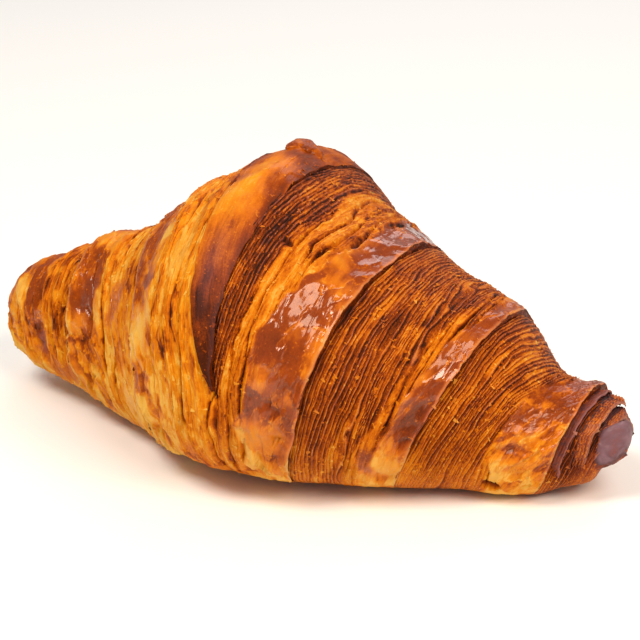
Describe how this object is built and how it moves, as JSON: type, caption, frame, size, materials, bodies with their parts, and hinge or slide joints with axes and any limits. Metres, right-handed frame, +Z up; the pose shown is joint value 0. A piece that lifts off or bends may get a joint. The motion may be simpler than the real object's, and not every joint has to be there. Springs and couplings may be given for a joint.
{
  "type": "croissant",
  "caption": "Baked laminated-dough crescent, wound in turns from a pointed flap to two tapering ends, with raised turn edges and a flat resting spot.",
  "frame": {"origin": "on the table, under the middle of the box around the croissant", "axes": "+X from the left end to the right end, -Y the side that the dough's point lies on, +Z up; the ends of the crescent turn toward +Y"},
  "size_m": [0.1676, 0.0908, 0.0735],
  "materials": {
    "crust": "egg-washed, glossy on the skin of each turn and matte on the cut layers"
  },
  "bodies": {
    "root": {"croissant": "crust"}
  },
  "joints": []
}
